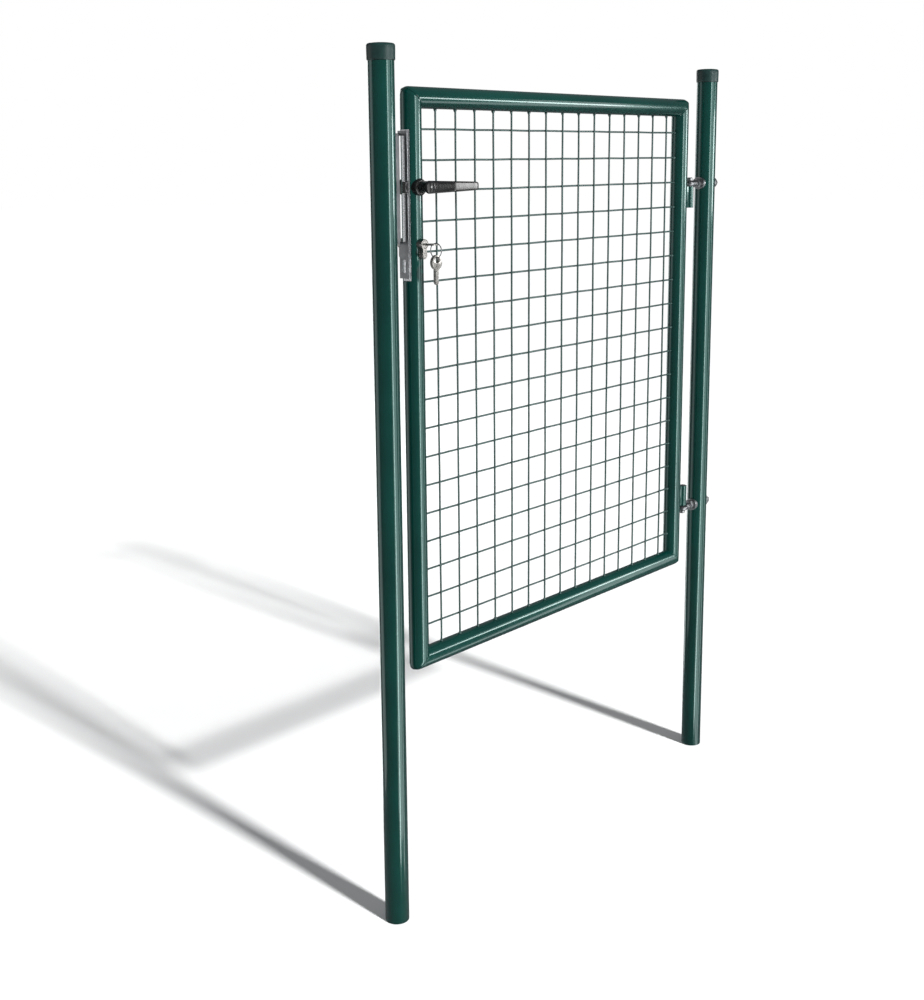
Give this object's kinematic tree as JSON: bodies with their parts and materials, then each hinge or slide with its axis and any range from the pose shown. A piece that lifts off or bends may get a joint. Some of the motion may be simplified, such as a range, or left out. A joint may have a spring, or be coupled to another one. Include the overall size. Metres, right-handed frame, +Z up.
{
  "type": "garden gate",
  "caption": "Single garden gate: a tubular leaf with a welded wire panel, hung on adjustable hinges between round posts, with a lever lock and keys.",
  "frame": {"origin": "middle of the bounding box at the level of the posts' feet", "axes": "+Z up along the posts, +X along the closed leaf from the lock side to the hinge side, +Y away from the side the leaf opens to"},
  "size_m": [1.0498, 0.1093, 1.506],
  "materials": {
    "green_paint": "gloss moss-green powder coat",
    "painted_wire": "dark green-grey coated wire",
    "cap_plastic": "matte dark green",
    "zinc": "galvanised, satin",
    "bright_zinc": "bright plated",
    "dark_steel": "dull",
    "black_plastic": "semi-gloss black",
    "nickel": "nickel plated"
  },
  "bodies": {
    "posts": {"lock_post": "green_paint", "hinge_post": "green_paint", "lock_post_cap": "cap_plastic", "hinge_post_cap": "cap_plastic", "strike_plate": "zinc", "upper_eyebolt": "zinc", "upper_eyebolt_inner_washer": "zinc", "upper_eyebolt_inner_nut": "zinc", "upper_eyebolt_outer_washer": "zinc", "upper_eyebolt_outer_nut": "zinc", "lower_eyebolt": "zinc", "lower_eyebolt_inner_washer": "zinc", "lower_eyebolt_inner_nut": "zinc", "lower_eyebolt_outer_washer": "zinc", "lower_eyebolt_outer_nut": "zinc"},
    "gate_leaf": {"lock_stile": "green_paint", "hinge_stile": "green_paint", "top_rail": "green_paint", "bottom_rail": "green_paint", "wire_mesh": "painted_wire", "upper_hinge_barrel": "green_paint", "lower_hinge_barrel": "green_paint", "upper_hinge_pin": "zinc", "lower_hinge_pin": "zinc", "lock_case": "dark_steel", "lock_forend": "bright_zinc", "forend_screw_upper": "zinc", "forend_screw_lower": "zinc", "cylinder_body": "nickel", "cylinder_screw": "zinc", "front_rose": "black_plastic", "back_rose": "black_plastic", "back_plug": "nickel", "latch_spring": "zinc"},
    "lever_set": {"front_lever": "black_plastic", "back_lever": "black_plastic", "lever_spindle": "zinc", "lock_follower": "dark_steel"},
    "latch": {"latch_bolt": "black_plastic"},
    "deadbolt": {"deadbolt": "zinc"},
    "key_set": {"front_plug": "nickel", "cylinder_cam": "dark_steel", "inserted_key": "nickel"},
    "key_ring": {"key_ring": "zinc"},
    "spare_key_one": {"spare_key_one": "nickel"},
    "spare_key_two": {"spare_key_two": "nickel"}
  },
  "joints": [
    {"name": "gate_swing", "type": "hinge", "parent": "posts", "child": "gate_leaf", "pos_m": [0.41915, 0.00975, 1.271], "axis": [0, 0, 1], "range_deg": [0, 110]},
    {"name": "lever_turn", "type": "hinge", "parent": "gate_leaf", "child": "lever_set", "pos_m": [-0.43485, 0.00975, 1.281], "axis": [0, 1, 0], "range_deg": [0, 45], "stiffness_Nm_per_rad": 1, "springref_deg": -28.65},
    {"name": "latch_slide", "type": "slide", "parent": "gate_leaf", "child": "latch", "axis": [1, 0, 0], "range_m": [0, 0.011], "deforming": ["latch_spring"]},
    {"name": "deadbolt_slide", "type": "slide", "parent": "gate_leaf", "child": "deadbolt", "axis": [-1, 0, 0], "range_m": [-0.0039, 0.01175]},
    {"name": "key_turn", "type": "hinge", "parent": "gate_leaf", "child": "key_set", "pos_m": [-0.43485, 0.00975, 1.189], "axis": [0, 1, 0], "range_deg": [-90, 270]},
    {"name": "key_ring_swing", "type": "hinge", "parent": "key_set", "child": "key_ring", "pos_m": [-0.43485, -0.04175, 1.1901], "axis": [0, 1, 0], "range_deg": [-15, 15]},
    {"name": "spare_key_one_swing", "type": "hinge", "parent": "key_ring", "child": "spare_key_one", "pos_m": [-0.43485, -0.04335, 1.1676], "axis": [0, 1, 0], "range_deg": [-15, 15]},
    {"name": "spare_key_two_swing", "type": "hinge", "parent": "key_ring", "child": "spare_key_two", "pos_m": [-0.43485, -0.04015, 1.1676], "axis": [0, 1, 0], "range_deg": [-15, 15]}
  ],
  "couplings": [
    {"joint": "latch_slide", "follows": "lever_turn", "m_per_rad": 0.014},
    {"joint": "key_turn", "follows": "deadbolt_slide", "rad_per_m": 400}
  ]
}
